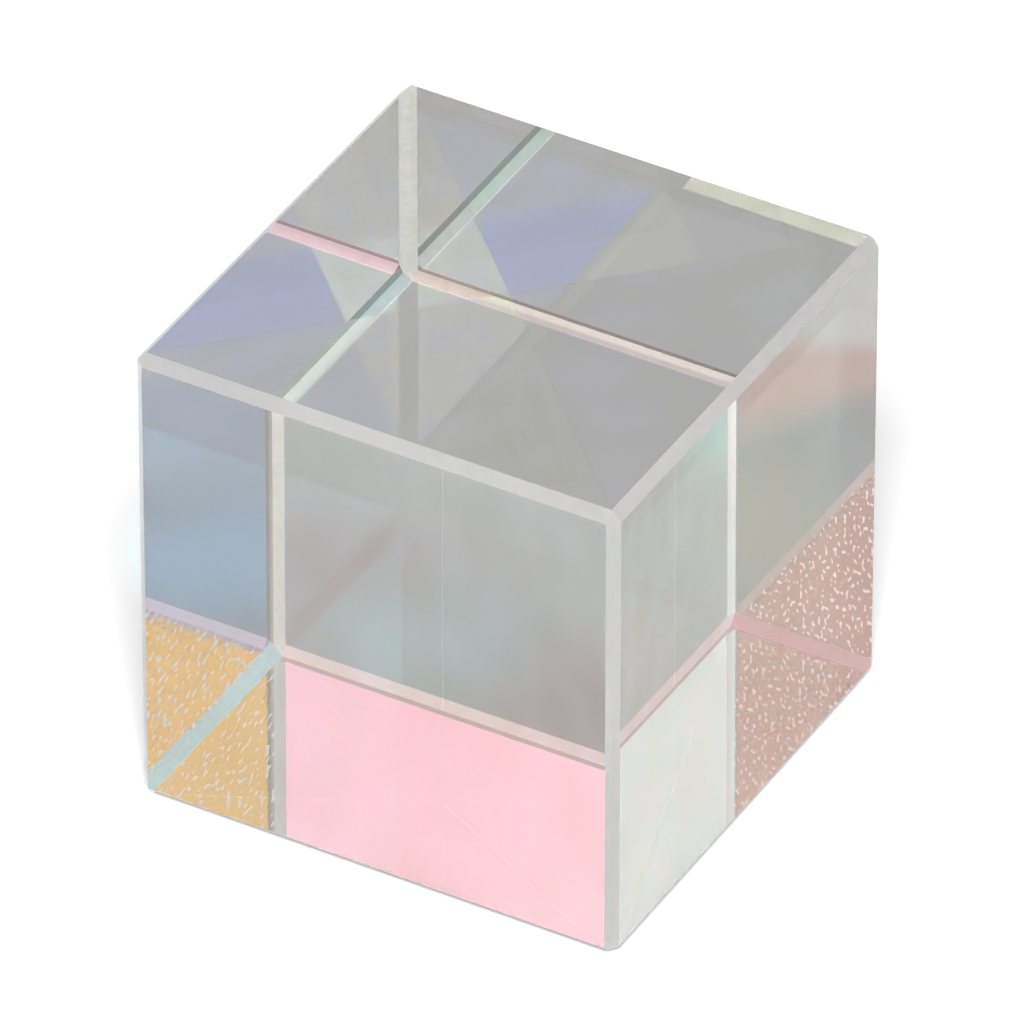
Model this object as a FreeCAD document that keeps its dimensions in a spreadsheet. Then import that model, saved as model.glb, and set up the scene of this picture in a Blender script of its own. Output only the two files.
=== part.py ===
import FreeCAD, Part
import os
import Sketcher

# Dichroic prism cube: four right-angle glass prisms cemented leg to leg.
# Their polished hypotenuse faces are the four upright windows of the cube, and their triangular
# ends make up its top and bottom. The joints cross in one upright line at the middle of the cube,
# and each joint holds a dichroic coating and a thin layer of optical cement.
# The origin is the centre of the bottom face, +Z runs up along the line where the joints cross,
# and the front prism's window faces -Y. Lengths are in millimetres.

doc = FreeCAD.newDocument("DichroicPrismCube")

# Driving sizes
sizes = doc.addObject("Spreadsheet::Sheet", "sizes")
DRIVING_SIZES = {
    "side_length": 20.0,          # across each pair of opposite windows
    "body_height": 20.0,          # from the bottom face to the top face
    "edge_bevel": 0.4,            # leg of the 45 degree bevel ground along every outer edge
    "coating_thickness": 0.005,   # dichroic layer stack on one side of each joint
    "cement_thickness": 0.01,     # cement that fills the rest of each joint
}
for row, (alias, value) in enumerate(DRIVING_SIZES.items(), start=1):
    sizes.set(f"A{row}", alias)
    sizes.set(f"B{row}", str(value))
    sizes.setAlias(f"B{row}", alias)
doc.recompute()

HALF_SIDE = "sizes.side_length / 2"
HALF_DIAGONAL = "sizes.side_length / sqrt(2)"
HALF_JOINT = "(sizes.coating_thickness + sizes.cement_thickness) / 2"
UPRIGHT = FreeCAD.Vector(0, 0, 1)
ORIGIN = (-1, 1)


def plan_sketch(body, corners):
    """Draw a closed outline through the corners on the body's own horizontal plane."""
    sketch = body.newObject("Sketcher::SketchObject", body.Name + "_plan")
    planes = body.Origin.OriginFeatures
    sketch.AttachmentSupport = [(next(p for p in planes if p.Role == "XY_Plane"), "")]
    sketch.MapMode = "FlatFace"
    points = [FreeCAD.Vector(x, y, 0) for x, y in corners]
    for i, start in enumerate(points):
        sketch.addGeometry(Part.LineSegment(start, points[(i + 1) % len(points)]))
    for i in range(len(points)):
        sketch.addConstraint(Sketcher.Constraint("Coincident", i, 2, (i + 1) % len(points), 1))
    return sketch


def bind_distance(sketch, kind, first, second, expression):
    """Hold the distance from the first point to the second at an expression of the sizes."""
    index = sketch.addConstraint(Sketcher.Constraint(kind, *first, *second, 1.0))
    sketch.setExpression(f"Constraints[{index}]", expression)


def pad_to_height(body, sketch):
    """Raise the sketch from the bottom face to the top face."""
    pad = body.newObject("PartDesign::Pad", body.Name + "_pad")
    pad.Profile = sketch
    pad.setExpression("Length", "sizes.body_height")
    sketch.Visibility = False
    return pad


# Finished outside of the cube: a square block with the same bevel on all twelve edges.
# Every piece is trimmed to it, so that the bevels run on from one piece to the next.
block = doc.addObject("PartDesign::Body", "bevelled_block")
square = plan_sketch(block, [(-1, -1), (1, -1), (1, 1), (-1, 1)])
square.addConstraint(Sketcher.Constraint("Horizontal", 0))
square.addConstraint(Sketcher.Constraint("Vertical", 1))
square.addConstraint(Sketcher.Constraint("Horizontal", 2))
square.addConstraint(Sketcher.Constraint("Vertical", 3))
square.addConstraint(Sketcher.Constraint("Symmetric", 0, 1, 2, 1, *ORIGIN))
bind_distance(square, "DistanceX", (0, 1), (0, 2), "sizes.side_length")
bind_distance(square, "DistanceY", (1, 1), (1, 2), "sizes.side_length")
square_bar = pad_to_height(block, square)
doc.recompute()
bevels = block.newObject("PartDesign::Chamfer", "outer_bevels")
bevels.Base = (square_bar, [f"Edge{i}" for i in range(1, len(square_bar.Shape.Edges) + 1)])
bevels.setExpression("Size", "sizes.edge_bevel")
block.Tip = bevels
doc.recompute()


def trim_to_block(label, blank):
    """Keep what lies inside the bevelled block as one finished piece of the cube."""
    piece = doc.addObject("Part::Common", label)
    piece.Label = label
    piece.Base = blank
    piece.Tool = block
    return piece


def make_prism(label, turn):
    """Right-angle prism whose two legs stand half a joint away from the diagonal planes.

    It is drawn with its hypotenuse along the front window and turned about the middle line.
    """
    body = doc.addObject("PartDesign::Body", label + "_blank")
    apex_up = [(0, -0.1), (-9, -10), (9, -10)]
    sketch = plan_sketch(body, apex_up)
    # Lines 0 and 2 are the legs, line 1 is the window, and -2 is the sketch's own Y axis
    sketch.addConstraint(Sketcher.Constraint("PointOnObject", 0, 1, -2))
    sketch.addConstraint(Sketcher.Constraint("Symmetric", 1, 1, 1, 2, -2))
    sketch.addConstraint(Sketcher.Constraint("Perpendicular", 0, 2))
    bind_distance(sketch, "DistanceY", (0, 1), ORIGIN, f"sqrt(2) * {HALF_JOINT}")
    bind_distance(sketch, "DistanceY", (1, 1), ORIGIN, HALF_SIDE)
    pad_to_height(body, sketch)
    body.Placement = FreeCAD.Placement(FreeCAD.Vector(), FreeCAD.Rotation(UPRIGHT, turn))
    return trim_to_block(label, body)


def make_layer(label, turn, start, end, near_side, thickness):
    """Flat layer in one of the diagonal planes, from the bottom face to the top face.

    Turn is the direction in plan in which the layer runs from start to end, both measured from
    the middle line, and near_side is how far its first face lies to the left of that plane.
    """
    sheet = doc.addObject("Part::Box", label + "_blank")
    sheet.setExpression("Length", f"{end} - ({start})")
    sheet.setExpression("Width", thickness)
    sheet.setExpression("Height", "sizes.body_height")
    sheet.Placement = FreeCAD.Placement(FreeCAD.Vector(), FreeCAD.Rotation(UPRIGHT, turn))
    along, across = f"({start})", f"({near_side})"
    sheet.setExpression("Placement.Base.x", f"{along} * cos({turn} deg) - {across} * sin({turn} deg)")
    sheet.setExpression("Placement.Base.y", f"{along} * sin({turn} deg) + {across} * cos({turn} deg)")
    return trim_to_block(label, sheet)


# Four equal prisms, one behind each window
pieces = [
    make_prism("prism_front", 0),
    make_prism("prism_right", 90),
    make_prism("prism_back", 180),
    make_prism("prism_left", 270),
]

# Long joint, across the whole cube from the back left edge to the front right edge.
# Front and left prisms, already a pair, carry one unbroken coating, and cement holds the
# other pair against it.
COATING = "sizes.coating_thickness"
CEMENT = "sizes.cement_thickness"
COATED_SIDE = f"-{HALF_JOINT}"
CEMENTED_SIDE = f"-{HALF_JOINT} + {COATING}"
long_span = (f"-{HALF_DIAGONAL}", HALF_DIAGONAL)
pieces.append(make_layer("long_coating", -45, *long_span, COATED_SIDE, COATING))
pieces.append(make_layer("long_cement", -45, *long_span, CEMENTED_SIDE, CEMENT))

# Short joints, one inside each pair of prisms, which stop at the long joint.
# Their coatings lie in one plane, on the legs of the front and right prisms.
short_spans = {
    "left": (f"-{HALF_DIAGONAL}", f"-{HALF_JOINT}"),
    "right": (HALF_JOINT, HALF_DIAGONAL),
}
for side, span in short_spans.items():
    pieces.append(make_layer(f"short_coating_{side}", 45, *span, COATED_SIDE, COATING))
    pieces.append(make_layer(f"short_cement_{side}", 45, *span, CEMENTED_SIDE, CEMENT))

doc.recompute()

# Every feature has to have worked, and the pieces together have to fill the block exactly
for item in doc.Objects:
    if "Invalid" in item.State or "Error" in item.State:
        raise RuntimeError(f"{item.Label} could not be made: {item.State}")
for piece in pieces:
    if piece.Shape.isNull() or not piece.Shape.isValid() or len(piece.Shape.Solids) != 1:
        raise RuntimeError(f"{piece.Label} is not one sound solid")
filled = sum(piece.Shape.Volume for piece in pieces)
if abs(filled - block.Shape.Volume) > 1e-6 * block.Shape.Volume:
    raise RuntimeError(f"the pieces fill {filled} of {block.Shape.Volume} cubic millimetres")

os.makedirs("parts", exist_ok=True)
for piece in pieces:
    piece.Shape.exportStep(f"parts/{piece.Label}.step")
    print(f"{piece.Label}: {piece.Shape.Volume:.4f} mm3, {len(piece.Shape.Faces)} faces")
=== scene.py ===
import math

import bpy
from mathutils import Euler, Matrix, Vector


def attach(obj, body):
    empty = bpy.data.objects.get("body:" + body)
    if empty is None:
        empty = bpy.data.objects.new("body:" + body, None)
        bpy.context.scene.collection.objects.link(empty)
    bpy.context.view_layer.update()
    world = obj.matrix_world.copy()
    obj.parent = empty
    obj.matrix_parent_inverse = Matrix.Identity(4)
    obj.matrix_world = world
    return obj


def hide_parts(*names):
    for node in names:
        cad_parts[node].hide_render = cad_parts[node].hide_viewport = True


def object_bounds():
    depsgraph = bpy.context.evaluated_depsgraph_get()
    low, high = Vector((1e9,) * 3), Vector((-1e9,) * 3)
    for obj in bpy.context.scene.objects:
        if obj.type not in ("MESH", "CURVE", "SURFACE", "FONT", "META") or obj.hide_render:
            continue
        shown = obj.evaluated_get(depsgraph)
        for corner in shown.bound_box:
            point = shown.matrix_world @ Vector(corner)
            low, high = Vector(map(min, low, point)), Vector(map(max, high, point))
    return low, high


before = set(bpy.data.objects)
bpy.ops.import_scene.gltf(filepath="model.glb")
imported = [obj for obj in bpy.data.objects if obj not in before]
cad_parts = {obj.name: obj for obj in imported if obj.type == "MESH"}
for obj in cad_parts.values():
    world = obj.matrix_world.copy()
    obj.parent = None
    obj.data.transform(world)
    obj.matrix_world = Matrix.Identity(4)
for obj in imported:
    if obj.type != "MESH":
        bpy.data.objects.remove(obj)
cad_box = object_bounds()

# Glass prisms
# Four right-angle prisms of clear crown glass, sawn, ground, polished to a few wavelengths and
# cemented leg to leg. The windows, the top and the bottom are polished, and every outer edge has
# a narrow bevel that was ground after cementing and left matt.

(left_x, _, bottom_z), (right_x, _, top_z) = cad_box
SIDE = right_x - left_x
HEIGHT = top_z - bottom_z
BEVEL = 0.0004
MIDDLE = Vector((0, 0, bottom_z + HEIGHT / 2))

# The joints lie in the diagonal planes, and these are the ways across them in plan
ACROSS_LONG = Vector((1, 1, 0)).normalized()
ACROSS_SHORT = Vector((1, -1, 0)).normalized()
JOINT = 0.000015


def bevelled_block(name):
    """The finished outside of the cube, from which every piece is cut."""
    bpy.ops.object.select_all(action="DESELECT")
    bpy.ops.mesh.primitive_cube_add(size=1, location=MIDDLE, scale=(SIDE, SIDE, HEIGHT))
    block = bpy.context.object
    block.name = name
    block.data.name = name
    bpy.ops.object.transform_apply(location=True, rotation=True, scale=True)
    bpy.ops.object.mode_set(mode="EDIT")
    bpy.ops.mesh.select_all(action="SELECT")
    bpy.ops.mesh.bevel(offset=BEVEL, segments=1, affect="EDGES")
    bpy.ops.object.mode_set(mode="OBJECT")
    return block


# Points of the mesh this near to the saw count as on it
SAW_REACH = 1e-7


def saw(piece, point, normal):
    """Cut the piece along a plane, keep what lies behind it and close the cut face."""
    bpy.ops.object.select_all(action="DESELECT")
    bpy.context.view_layer.objects.active = piece
    piece.select_set(True)
    bpy.ops.object.mode_set(mode="EDIT")
    bpy.ops.mesh.select_all(action="SELECT")
    bpy.ops.mesh.bisect(
        plane_co=point, plane_no=normal, use_fill=True, clear_outer=True, threshold=SAW_REACH,
    )
    bpy.ops.mesh.select_all(action="SELECT")
    bpy.ops.mesh.normals_make_consistent(inside=False)
    bpy.ops.object.mode_set(mode="OBJECT")


def new_material(name):
    """An empty node material and its output. What glows in it is found by the rays that meet it."""
    material = bpy.data.materials.new(name)
    material.use_nodes = True
    material.cycles.emission_sampling = "NONE"
    nodes = material.node_tree.nodes
    nodes.clear()
    return material, nodes, material.node_tree.links, nodes.new("ShaderNodeOutputMaterial")


def add_noise(nodes, links, scale, detail, roughness, squeeze=(1, 1, 1)):
    """Noise on the piece's own coordinates, drawn out along an axis where its squeeze is small."""
    place = nodes.new("ShaderNodeTexCoord")
    stretch = nodes.new("ShaderNodeMapping")
    stretch.inputs["Scale"].default_value = squeeze
    noise = nodes.new("ShaderNodeTexNoise")
    noise.inputs["Scale"].default_value = scale
    noise.inputs["Detail"].default_value = detail
    noise.inputs["Roughness"].default_value = roughness
    links.new(place.outputs["Object"], stretch.inputs["Vector"])
    links.new(stretch.outputs["Vector"], noise.inputs["Vector"])
    return noise.outputs["Fac"]


def grade(nodes, links, value, low, high, start=0, end=1):
    """Go from start to end while the value goes from low to high."""
    graded = nodes.new("ShaderNodeMapRange")
    graded.inputs["From Min"].default_value = low
    graded.inputs["From Max"].default_value = high
    graded.inputs["To Min"].default_value = start
    graded.inputs["To Max"].default_value = end
    links.new(value, graded.inputs["Value"])
    return graded


def ramp_of(nodes, links, value, stops):
    """A colour ramp over the value, with the given stops of place and colour."""
    ramp = nodes.new("ShaderNodeValToRGB")
    ramp.color_ramp.elements[0].position = stops[0][0]
    ramp.color_ramp.elements[-1].position = stops[-1][0]
    for position, colour in stops[1:-1]:
        ramp.color_ramp.elements.new(position)
    for element, (position, colour) in zip(ramp.color_ramp.elements, stops):
        element.color = (*colour, 1)
    links.new(value, ramp.inputs["Fac"])
    return ramp.outputs["Color"]


def work_out(nodes, links, operation, *values):
    """The result of one operation on two or three values."""
    result = nodes.new("ShaderNodeMath")
    result.operation = operation
    for value, socket in zip(values, result.inputs):
        links.new(value, socket)
    return result.outputs["Value"]


def mix_shaders(nodes, links, first, second):
    """A mix of two shaders. Its share of the second is set or linked by the caller."""
    mix = nodes.new("ShaderNodeMixShader")
    links.new(first, mix.inputs[1])
    links.new(second, mix.inputs[2])
    return mix


def facing(nodes, links, normal=None):
    """One minus the cosine of the angle at which the surface is met."""
    weight = nodes.new("ShaderNodeLayerWeight")
    weight.inputs["Blend"].default_value = 0.5
    if normal:
        links.new(normal, weight.inputs["Normal"])
    return weight.outputs["Facing"]


def tilted_upward(nodes, links):
    """The surface's direction as met from inside the glass, leaned far upward."""
    place = nodes.new("ShaderNodeTexCoord")
    axes = nodes.new("ShaderNodeSeparateXYZ")
    links.new(place.outputs["Object"], axes.inputs["Vector"])
    lean = nodes.new("ShaderNodeBump")
    lean.invert = True
    lean.inputs["Distance"].default_value = 1
    links.new(axes.outputs["Z"], lean.inputs["Height"])
    return lean.outputs["Normal"]


GLASS_COLOUR = (0.985, 0.99, 0.987, 1)
GLASS_IOR = 1.55
SMUDGE_SCALE = 180
SMUDGE_STARTS, SMUDGE_FULL = 0.62, 0.85
SMUDGE_ROUGHNESS = 0.03


def clear_glass(nodes, links):
    """Clear glass with a breath of smudge on its polish."""
    glass = nodes.new("ShaderNodeBsdfPrincipled")
    glass.inputs["Base Color"].default_value = GLASS_COLOUR
    glass.inputs["Transmission Weight"].default_value = 1
    glass.inputs["IOR"].default_value = GLASS_IOR
    smudge = add_noise(nodes, links, SMUDGE_SCALE, detail=1, roughness=0.6)
    roughness = grade(nodes, links, smudge, SMUDGE_STARTS, SMUDGE_FULL, 0, SMUDGE_ROUGHNESS)
    links.new(roughness.outputs["Result"], glass.inputs["Roughness"])
    return glass


def polished_window(name):
    """A window without a visible flaw."""
    material, nodes, links, output = new_material(name)
    links.new(clear_glass(nodes, links).outputs["BSDF"], output.inputs["Surface"])
    return material


GRAIN_SCALE = 5000
GRAIN_FADE = 0.0003
PAINTED_GLINT_SCALE = 4200
PAINTED_GLINT_STARTS, PAINTED_GLINT_FULL = 0.60, 0.68
HIDDEN, SHOWN = (0, 0, 0), (1, 1, 1)
# Facing factors, taken with the surface leaned upward: light that comes flat along the window
# from above, and light that rises inside the glass after the bottom has turned it back
SEEN_FLAT = ((0.25, HIDDEN), (0.35, SHOWN), (0.56, SHOWN), (0.61, HIDDEN))
SEEN_RISING = ((0.78, HIDDEN), (0.86, SHOWN))


def grained_window_with_painted_glints(name, grain_height, squeeze, slope, grain_edge, glint_colour, glint_strength):
    """A window whose lower outer corner has grain and small dig marks with painted glints, which
    show at a flat angle.

    Slope and grain edge give the line in the window below which the grain lies. The glints on the
    dig marks are painted: they shine of themselves, for the light that glass gathers there and that
    isn't traced.
    """
    material, nodes, links, output = new_material(name)
    place = nodes.new("ShaderNodeTexCoord")
    level = nodes.new("ShaderNodeVectorMath")
    level.operation = "DOT_PRODUCT"
    level.inputs[1].default_value = slope
    links.new(place.outputs["Object"], level.inputs[0])
    level_value = level.outputs["Value"]
    below = grade(nodes, links, level_value, grain_edge, grain_edge - GRAIN_FADE)

    leaned = facing(nodes, links, tilted_upward(nodes, links))
    seen_flat = ramp_of(nodes, links, leaned, SEEN_FLAT)
    seen_rising = ramp_of(nodes, links, leaned, SEEN_RISING)
    # The grain and the painted glints show only in the corner, at these angles, and from inside the
    # glass
    seen_in_corner = work_out(
        nodes, links, "MULTIPLY_ADD", below.outputs["Result"], seen_flat, seen_rising,
    )
    side_met = nodes.new("ShaderNodeNewGeometry")
    from_inside = side_met.outputs["Backfacing"]
    shown = work_out(nodes, links, "MULTIPLY", seen_in_corner, from_inside)

    bump = nodes.new("ShaderNodeBump")
    bump.inputs["Distance"].default_value = grain_height
    grain = add_noise(nodes, links, GRAIN_SCALE, detail=1, roughness=0.6, squeeze=squeeze)
    links.new(grain, bump.inputs["Height"])
    grained = clear_glass(nodes, links)
    links.new(bump.outputs["Normal"], grained.inputs["Normal"])
    painted_glint_noise = add_noise(nodes, links, PAINTED_GLINT_SCALE, detail=0, roughness=0.5, squeeze=squeeze)
    painted_glint_spots = grade(nodes, links, painted_glint_noise, PAINTED_GLINT_STARTS, PAINTED_GLINT_FULL)
    painted_glint_spots.interpolation_type = "SMOOTHSTEP"
    # Painted glint: the dig marks give off light of their own
    glint = nodes.new("ShaderNodeEmission")
    glint.inputs["Color"].default_value = glint_colour
    glint.inputs["Strength"].default_value = glint_strength

    grain_and_painted_glints = mix_shaders(nodes, links, grained.outputs["BSDF"], glint.outputs["Emission"])
    links.new(painted_glint_spots.outputs["Result"], grain_and_painted_glints.inputs["Fac"])
    clean = clear_glass(nodes, links)
    surface = mix_shaders(nodes, links, clean.outputs["BSDF"], grain_and_painted_glints.outputs["Shader"])
    links.new(shown, surface.inputs["Fac"])
    links.new(surface.outputs["Shader"], output.inputs["Surface"])
    return material


GRIT_SCALE = 2500
GRIT_STARTS, GRIT_FULL = 0.3, 0.7
GRIT_DARK, GRIT_PALE = (0.84, 0.86, 0.86), (0.97, 0.98, 0.98)
GRIT_SHADE = 0.85
GROUND_ROUGHNESS = 0.45
FROST_SHARE = 0.4
# Facing factors between which a bevel's painted glow grows from its steep share to the whole
STEEP, FLAT, FLAT_IF_LOW = 0.2, 0.5, 0.45
SHINING = "ShaderNodeBsdfGlass"
SHINELESS = "ShaderNodeBsdfRefraction"


def ground_glass(name, kind, painted_guided_light, steep_share=1, tint=(1, 1, 1), low=False):
    """Fine-ground bevel: a white frost with a painted glow, light of its own that stands in for the
    light which the glass guides to it.

    Kind says whether it also shines or only lets light through. Steep share is how much of the
    painted glow is left for someone who looks straight at the bevel, or for a low bevel, for
    someone who looks down on it.
    """
    material, nodes, links, output = new_material(name)
    grit = add_noise(nodes, links, GRIT_SCALE, detail=3, roughness=0.7)
    tone = ramp_of(nodes, links, grit, [(GRIT_STARTS, GRIT_DARK), (GRIT_FULL, GRIT_PALE)])
    rough_glass = nodes.new(kind)
    rough_glass.inputs["IOR"].default_value = GLASS_IOR
    rough_glass.inputs["Roughness"].default_value = GROUND_ROUGHNESS
    scattered_back = nodes.new("ShaderNodeBsdfDiffuse")
    scattered_on = nodes.new("ShaderNodeBsdfTranslucent")
    for shader in (rough_glass, scattered_back, scattered_on):
        links.new(tone, shader.inputs["Color"])
    frost = mix_shaders(nodes, links, scattered_back.outputs["BSDF"], scattered_on.outputs["BSDF"])
    frost.inputs["Fac"].default_value = 0.5
    surface = mix_shaders(nodes, links, rough_glass.outputs["BSDF"], frost.outputs["Shader"])
    surface.inputs["Fac"].default_value = FROST_SHARE

    angle = facing(nodes, links, tilted_upward(nodes, links) if low else None)
    flat = FLAT_IF_LOW if low else FLAT
    guided = grade(nodes, links, angle, STEEP, flat, painted_guided_light * steep_share, painted_guided_light)
    shaded_tint = tuple(GRIT_SHADE * t for t in tint)
    glow_colour = ramp_of(nodes, links, grit, [(GRIT_STARTS, shaded_tint), (GRIT_FULL, tint)])
    # Painted glow: light of the bevel's own, whose strength changes with the angle at which the
    # bevel is met
    glow = nodes.new("ShaderNodeEmission")
    links.new(glow_colour, glow.inputs["Color"])
    links.new(guided.outputs["Result"], glow.inputs["Strength"])
    frosted = nodes.new("ShaderNodeAddShader")
    links.new(surface.outputs["Shader"], frosted.inputs[0])
    links.new(glow.outputs["Emission"], frosted.inputs[1])
    links.new(frosted.outputs["Shader"], output.inputs["Surface"])
    return material


HAZE_SCALE = 300
HAZE_STOPS = ((0.35, (0.992, 0.992, 0.985)), (0.65, (1, 1, 1)))


def clear_cement():
    """Cemented face: the cement matches the glass, so light passes without bending."""
    material, nodes, links, output = new_material("clear_cement")
    clear = nodes.new("ShaderNodeBsdfTransparent")
    haze = add_noise(nodes, links, HAZE_SCALE, detail=0, roughness=0.5)
    links.new(ramp_of(nodes, links, haze, HAZE_STOPS), clear.inputs["Color"])
    links.new(clear.outputs["BSDF"], output.inputs["Surface"])
    return material


clean_window = polished_window("polished_glass")
# Grained windows with painted glints on their dig marks
WORN_WINDOWS_WITH_PAINTED_GLINTS = {
    "back": grained_window_with_painted_glints(
        "polished_glass_back",
        grain_height=0.000007,
        squeeze=(0.56, 1, 1),
        slope=(-0.48, 0, 1),
        grain_edge=0.0048,
        glint_colour=(1, 0.76, 0.68, 1),
        glint_strength=1.4,
    ),
    "left": grained_window_with_painted_glints(
        "polished_glass_left",
        grain_height=0.000018,
        squeeze=(1, 0.29, 1),
        slope=(0, 0.436, 1),
        grain_edge=0.00436,
        glint_colour=(1, 1, 0.95, 1),
        glint_strength=1.05,
    ),
}
# Every bevel has a painted glow of its own. On the low bevels of the left and the back prism it is
# tinted, as the coatings tint the light that these prisms guide there
near_bevel = ground_glass("ground_glass", SHINING, painted_guided_light=0.32)
far_bevel = ground_glass(
    "ground_glass_far", SHINELESS, painted_guided_light=0.62, steep_share=1.25, tint=(1, 1, 0.93),
)
LOW_BEVELS = {
    "right": ground_glass("ground_glass_right", SHINELESS, painted_guided_light=0.1),
    "left": ground_glass(
        "ground_glass_left",
        SHINELESS,
        painted_guided_light=1.0,
        steep_share=0.22,
        tint=(0.72, 0.96, 0.96),
        low=True,
    ),
    "back": ground_glass(
        "ground_glass_back",
        SHINELESS,
        painted_guided_light=0.95,
        steep_share=0.25,
        tint=(1.0, 0.52, 0.52),
        low=True,
    ),
}
cemented_face = clear_cement()

# Places of the finishes in a piece's list of materials
END, WINDOW, CEMENTED, LIT_BEVEL, FAR_BEVEL, LOW_BEVEL, STACK = range(7)
TOWARDS_LIGHT = Vector((0.4, -0.7, 0.6))
SQUARE_ON, LEVEL, DOWNWARD = 0.99, 0.01, -0.1
BY_THE_MIDDLE = SIDE / 10
ON_THE_LIT_SIDE = SIDE / 5


def finish_faces(piece, window=clean_window, low_bevel=far_bevel):
    """Ends and windows are polished, faces inside a joint are cemented, the rest are bevels."""
    for finish in (clean_window, window, cemented_face, near_bevel, far_bevel, low_bevel):
        piece.data.materials.append(finish)
    for face in piece.data.polygons:
        normal, centre = face.normal, face.center
        if abs(normal.z) > SQUARE_ON:
            face.material_index = END
        elif max(abs(normal.x), abs(normal.y)) > SQUARE_ON:
            face.material_index = WINDOW
        elif abs(normal.z) < LEVEL and abs(centre.dot(normal)) < BY_THE_MIDDLE:
            face.material_index = CEMENTED
        elif centre.dot(TOWARDS_LIGHT) > ON_THE_LIT_SIDE:
            face.material_index = LIT_BEVEL
        else:
            face.material_index = LOW_BEVEL if normal.z < DOWNWARD else FAR_BEVEL


front_prism = bevelled_block("glass_front")
saw(front_prism, -ACROSS_LONG * JOINT / 2, ACROSS_LONG)
saw(front_prism, ACROSS_SHORT * JOINT / 2, -ACROSS_SHORT)

# The other three are the same prism, each a quarter turn further round
prisms = {}
for quarters, side in enumerate(("front", "right", "back", "left")):
    prism = front_prism
    if side != "front":
        prism = front_prism.copy()
        prism.data = front_prism.data.copy()
        prism.name = f"glass_{side}"
        bpy.context.collection.objects.link(prism)
        bpy.ops.object.select_all(action="DESELECT")
        bpy.context.view_layer.objects.active = prism
        prism.select_set(True)
        prism.rotation_euler = Euler((0, 0, quarters * math.pi / 2))
        bpy.ops.object.transform_apply(rotation=True)
    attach(prism, "root")
    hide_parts(f"prism_{side}")
    prisms[side] = prism

for side, prism in prisms.items():
    finish_faces(prism, WORN_WINDOWS_WITH_PAINTED_GLINTS.get(side, clean_window), LOW_BEVELS.get(side, far_bevel))

# Dichroic coatings
# Stacks of many thin films, evaporated on one leg of each joint before cementing. A stack reflects
# one band of colour and passes the rest, and the band moves towards blue as light meets it at a
# flatter angle. The long coating is unbroken, and the short one is in two halves that stop at it.

COATED = 0.000005
CLEARANCE = 0.0000008


def facing_at(angle):
    """How a facing factor reads for light that meets the coating at this angle."""
    return 1 - math.cos(math.radians(angle))


def dichroic_stack(name, passes):
    """Passes and reflects the colours listed for each angle of incidence."""
    material, nodes, links, output = new_material(name)
    through = nodes.new("ShaderNodeBsdfTransparent")
    mirror = nodes.new("ShaderNodeBsdfGlossy")
    mirror.inputs["Roughness"].default_value = 0
    both = nodes.new("ShaderNodeAddShader")
    passed, reflected = [], []
    for degrees, losses, colour in passes:
        kept = [1 - loss for loss in losses]
        passed.append((facing_at(degrees), [k * c for k, c in zip(kept, colour)]))
        reflected.append((facing_at(degrees), [k * (1 - c) for k, c in zip(kept, colour)]))
    angle = facing(nodes, links)
    for stops, shader, socket in ((passed, through, 0), (reflected, mirror, 1)):
        links.new(ramp_of(nodes, links, angle, stops), shader.inputs["Color"])
        links.new(shader.outputs["BSDF"], both.inputs[socket])
    links.new(both.outputs["Shader"], output.inputs["Surface"])
    return material


# Angle of incidence in degrees, shares of red, green and blue that are lost in the stack, and
# how what is left divides: this colour is passed, and the rest of it reflected
NO_LOSS = (0, 0, 0)
LONG_LOSS = (0.25, 0.25, 0.25)
SHORT_LOSS = (0.36, 0.36, 0.36)
LONG_PASSES = (
    (0, LONG_LOSS, (0.98, 0.15, 0.03)),
    (28, LONG_LOSS, (0.98, 0.18, 0.03)),
    (36, LONG_LOSS, (0.83, 0.46, 0.04)),
    (60, NO_LOSS, (0.99, 0.95, 0.74)),
    (64, NO_LOSS, (0.91, 0.61, 0.65)),
    (75, NO_LOSS, (0.80, 0.09, 0.09)),
    (82, NO_LOSS, (0.76, 0.74, 0.97)),
    (89, NO_LOSS, (0.30, 0.30, 0.40)),
)
SHORT_PASSES = (
    (0, SHORT_LOSS, (0.90, 0.82, 0.83)),
    (28, SHORT_LOSS, (0.89, 0.84, 0.84)),
    (36, (0.35, 0.39, 0.39), (0.85, 0.941, 0.907)),
    (60, NO_LOSS, (0.43, 0.36, 0.51)),
    (64, NO_LOSS, (0.18, 0.37, 0.71)),
    (75, NO_LOSS, (0.25, 0.25, 0.48)),
    (82, NO_LOSS, (0.62, 0.58, 0.67)),
    (89, NO_LOSS, (0.20, 0.20, 0.20)),
)
long_stack = dichroic_stack("long_dichroic_stack", LONG_PASSES)
short_stack = dichroic_stack("short_dichroic_stack", SHORT_PASSES)


def joint_layer(name, across, near, far):
    """A layer cut from the block, which fills a joint from its near side to its far side."""
    layer = bevelled_block(name)
    saw(layer, across * (far - CLEARANCE), across)
    saw(layer, across * (near + CLEARANCE), -across)
    return layer


# The short stacks lie on the legs of the front and right prisms
ACROSS_SHORT_JOINT = -ACROSS_SHORT


def half_joint_layer(name, side_of_long_joint, near, far):
    """A layer in the short joint that stops at the long one."""
    layer = joint_layer(name, ACROSS_SHORT_JOINT, near, far)
    inward = ACROSS_LONG * side_of_long_joint
    saw(layer, -inward * (JOINT / 2 + CLEARANCE), inward)
    return layer


def place_layer(layer, node, coated_side=None, stack=None):
    """Give the layer its faces, with the stack on its coated side, and put it on the cube."""
    finish_faces(layer)
    if stack:
        layer.data.materials.append(stack)
        for face in layer.data.polygons:
            if face.normal.dot(coated_side) > SQUARE_ON and face.material_index == CEMENTED:
                face.material_index = STACK
    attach(layer, "root")
    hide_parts(node)


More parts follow.
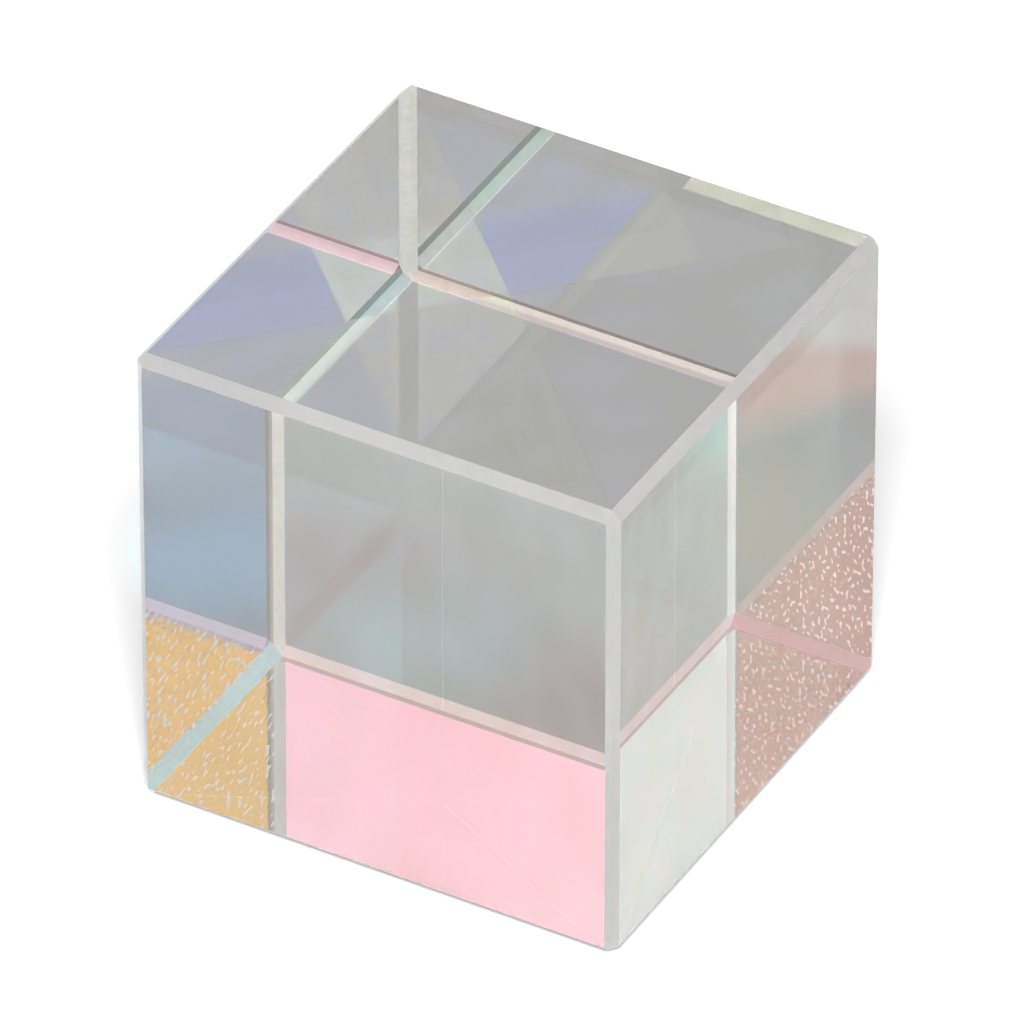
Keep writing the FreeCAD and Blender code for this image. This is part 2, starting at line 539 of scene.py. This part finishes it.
# The stacks take up one side of each joint, and the resin takes up the other
STACK_STARTS = -JOINT / 2
STACK_ENDS = STACK_STARTS + COATED
long_layer = joint_layer("long_stack", ACROSS_LONG, STACK_STARTS, STACK_ENDS)
place_layer(long_layer, "long_coating", ACROSS_LONG, long_stack)

HALVES = (("left", 1), ("right", -1))
for side, away in HALVES:
    short_layer = half_joint_layer(f"short_stack_{side}", away, STACK_STARTS, STACK_ENDS)
    place_layer(short_layer, f"short_coating_{side}", ACROSS_SHORT_JOINT, short_stack)

# Optical cement
# A thin layer of clear resin cured in each joint beside the stack. It has nearly the index of the
# glass, so light goes straight on through it and only hairline ends show on the outside.

long_resin = joint_layer("long_resin", ACROSS_LONG, STACK_ENDS, JOINT / 2)
place_layer(long_resin, "long_cement")
for side, away in HALVES:
    short_resin = half_joint_layer(f"short_resin_{side}", away, STACK_ENDS, JOINT / 2)
    place_layer(short_resin, f"short_cement_{side}")

# Floor
# A plain sheet of white paper under the cube, a hair below its bottom face. The paper keeps the
# cube's shadow, and beside the left window a patch of blue-green light is painted on it, for the
# light that the coatings throw there.

FLOOR_SIZE = 4
FLOOR_GAP = 0.00005
FIBRE_SCALE = 40
FIBRE_STOPS = ((0.3, (0.84, 0.84, 0.84)), (0.7, (0.86, 0.86, 0.86)))
bpy.ops.object.select_all(action="DESELECT")
bpy.ops.mesh.primitive_plane_add(size=FLOOR_SIZE, location=(0, 0, bottom_z - FLOOR_GAP))
floor = bpy.context.object
floor.name = "floor"
paper, nodes, links, output = new_material("pale_floor")
sheet_surface = nodes.new("ShaderNodeBsdfPrincipled")
sheet_surface.inputs["Roughness"].default_value = 0.9
fibre = add_noise(nodes, links, FIBRE_SCALE, detail=3, roughness=0.5)
links.new(ramp_of(nodes, links, fibre, FIBRE_STOPS), sheet_surface.inputs["Base Color"])

# The white background, for the eye, mirrors and glass alone: it puts no light on the cube
ray = nodes.new("ShaderNodeLightPath")
by_eye, by_mirror = ray.outputs["Is Camera Ray"], ray.outputs["Is Glossy Ray"]
straight_or_mirrored = work_out(nodes, links, "MAXIMUM", by_eye, by_mirror)
through_glass = ray.outputs["Is Transmission Ray"]
seen = work_out(nodes, links, "MAXIMUM", straight_or_mirrored, through_glass)
links.new(seen, sheet_surface.inputs["Emission Strength"])

# Painted pool of blue-green light on the paper, beside the left window
SPILL_CENTRE = (-0.0135, 0.0052, 0)
SPILL_EDGE, SPILL_FULL = 0.0058, 0.0022
SPILL_STARTS = 0.0003
PAPER_GLOW, PAINTED_SPILL_GLOW = (0.43, 0.43, 0.43), (0.60, 0.92, 0.98)
spot = nodes.new("ShaderNodeTexCoord")
from_spill = nodes.new("ShaderNodeVectorMath")
from_spill.operation = "DISTANCE"
from_spill.inputs[1].default_value = SPILL_CENTRE
links.new(spot.outputs["Object"], from_spill.inputs[0])
spread = grade(nodes, links, from_spill.outputs["Value"], SPILL_EDGE, SPILL_FULL)
plan = nodes.new("ShaderNodeSeparateXYZ")
links.new(spot.outputs["Object"], plan.inputs["Vector"])
beside_cube = grade(nodes, links, plan.outputs["X"], left_x, left_x - SPILL_STARTS)
painted_spill_share = work_out(
    nodes, links, "MULTIPLY", spread.outputs["Result"], beside_cube.outputs["Result"],
)
glow_colour = ramp_of(nodes, links, painted_spill_share, [(0.0, PAPER_GLOW), (1.0, PAINTED_SPILL_GLOW)])
links.new(glow_colour, sheet_surface.inputs["Emission Color"])
links.new(sheet_surface.outputs["BSDF"], output.inputs["Surface"])
floor.data.materials.append(paper)

# Soft boxes
# Square diffusing screens stand round the cube and are seen in it by way of the glass. The main
# lamp hangs above the camera, so the shadow falls behind the cube.

SCREEN_DISTANCE = 0.6
SCREEN_ELEVATION = 37
# Azimuth in degrees, width in metres and strength
SCREENS = (
    (-30, 0.10, 9.5),
    (60, 0.15, 2.15),
    (150, 0.15, 1.34),
    (-120, 0.13, 1.25),
)
LAMP_AZIMUTH, LAMP_ELEVATION = -61, 50
LAMP_WIDTH, LAMP_STRENGTH = 0.10, 95


def soft_box(name, azimuth, elevation, width, strength):
    """A glowing square screen that faces the middle of the cube."""
    bearing = Vector((
        math.cos(math.radians(azimuth)) * math.cos(math.radians(elevation)),
        math.sin(math.radians(azimuth)) * math.cos(math.radians(elevation)),
        math.sin(math.radians(elevation)),
    ))
    turn = bearing.to_track_quat("Z", "Y").to_euler()
    place = MIDDLE + bearing * SCREEN_DISTANCE
    bpy.ops.object.select_all(action="DESELECT")
    bpy.ops.mesh.primitive_plane_add(size=width, location=place, rotation=turn)
    screen = bpy.context.object
    screen.name = name
    bpy.ops.object.transform_apply(location=True, rotation=True, scale=True)
    glow, nodes, links, output = new_material(name)
    glow.cycles.emission_sampling = "FRONT_BACK"
    light = nodes.new("ShaderNodeEmission")
    light.inputs["Strength"].default_value = strength
    links.new(light.outputs["Emission"], output.inputs["Surface"])
    screen.data.materials.append(glow)


for azimuth, width, strength in SCREENS:
    soft_box(f"soft_box_{azimuth % 360}", azimuth, SCREEN_ELEVATION, width, strength)
soft_box("soft_box_main", LAMP_AZIMUTH, LAMP_ELEVATION, LAMP_WIDTH, LAMP_STRENGTH)

# Room
# The studio round the screens is dim, with grey walls that are a little lighter than its ceiling.
# It is what the glass shows where no screen stands.

WALL_GREY = (0.16, 0.16, 0.16)
CEILING_GREY = (0.05, 0.05, 0.05)
WALLS_END, CEILING_STARTS = 0.75, 0.9
world = bpy.data.worlds.new("studio")
bpy.context.scene.world = world
world.use_nodes = True
nodes, links = world.node_tree.nodes, world.node_tree.links
room = nodes.new("ShaderNodeTexCoord")
heights = nodes.new("ShaderNodeSeparateXYZ")
links.new(room.outputs["Generated"], heights.inputs["Vector"])
room_stops = [(0.0, WALL_GREY), (WALLS_END, WALL_GREY), (CEILING_STARTS, CEILING_GREY)]
room_light = ramp_of(nodes, links, heights.outputs["Z"], room_stops)
links.new(room_light, nodes["Background"].inputs["Color"])

# Camera
# It stands in front of the upright edge between the front and right windows, nearly sixty
# centimetres away, and looks down on the cube through a long lens.

CAMERA_AZIMUTH = math.radians(29.525)
CAMERA_ELEVATION = math.radians(36.816)
CAMERA_DISTANCE = 0.5795
FOCAL_PIXELS = 15832
SHIFT_PIXELS = (2.253, 2.482)
IMAGE_SIDE = 1024
SENSOR_WIDTH = 36
NEAREST_SEEN, FARTHEST_SEEN = 0.05, 20
forward = Vector((
    -math.sin(CAMERA_AZIMUTH) * math.cos(CAMERA_ELEVATION),
    math.cos(CAMERA_AZIMUTH) * math.cos(CAMERA_ELEVATION),
    -math.sin(CAMERA_ELEVATION),
))
camera_data = bpy.data.cameras.new("camera")
camera_data.sensor_width = SENSOR_WIDTH
camera_data.lens = FOCAL_PIXELS / IMAGE_SIDE * SENSOR_WIDTH
camera_data.shift_x = SHIFT_PIXELS[0] / IMAGE_SIDE
camera_data.shift_y = SHIFT_PIXELS[1] / IMAGE_SIDE
camera_data.clip_start = NEAREST_SEEN
camera_data.clip_end = FARTHEST_SEEN
camera = bpy.data.objects.new("camera", camera_data)
camera.location = MIDDLE - forward * CAMERA_DISTANCE
camera.rotation_euler = forward.to_track_quat("-Z", "Y").to_euler()
bpy.context.collection.objects.link(camera)
bpy.context.scene.camera = camera

LIGHT_BOUNCES = 9
JOINT_CROSSINGS = 64
scene = bpy.context.scene
scene.view_settings.view_transform = "Standard"
scene.cycles.max_bounces = LIGHT_BOUNCES
scene.cycles.transmission_bounces = LIGHT_BOUNCES
scene.cycles.glossy_bounces = LIGHT_BOUNCES
scene.cycles.diffuse_bounces = 1
scene.cycles.caustics_reflective = False
scene.cycles.caustics_refractive = False
scene.cycles.transparent_max_bounces = JOINT_CROSSINGS
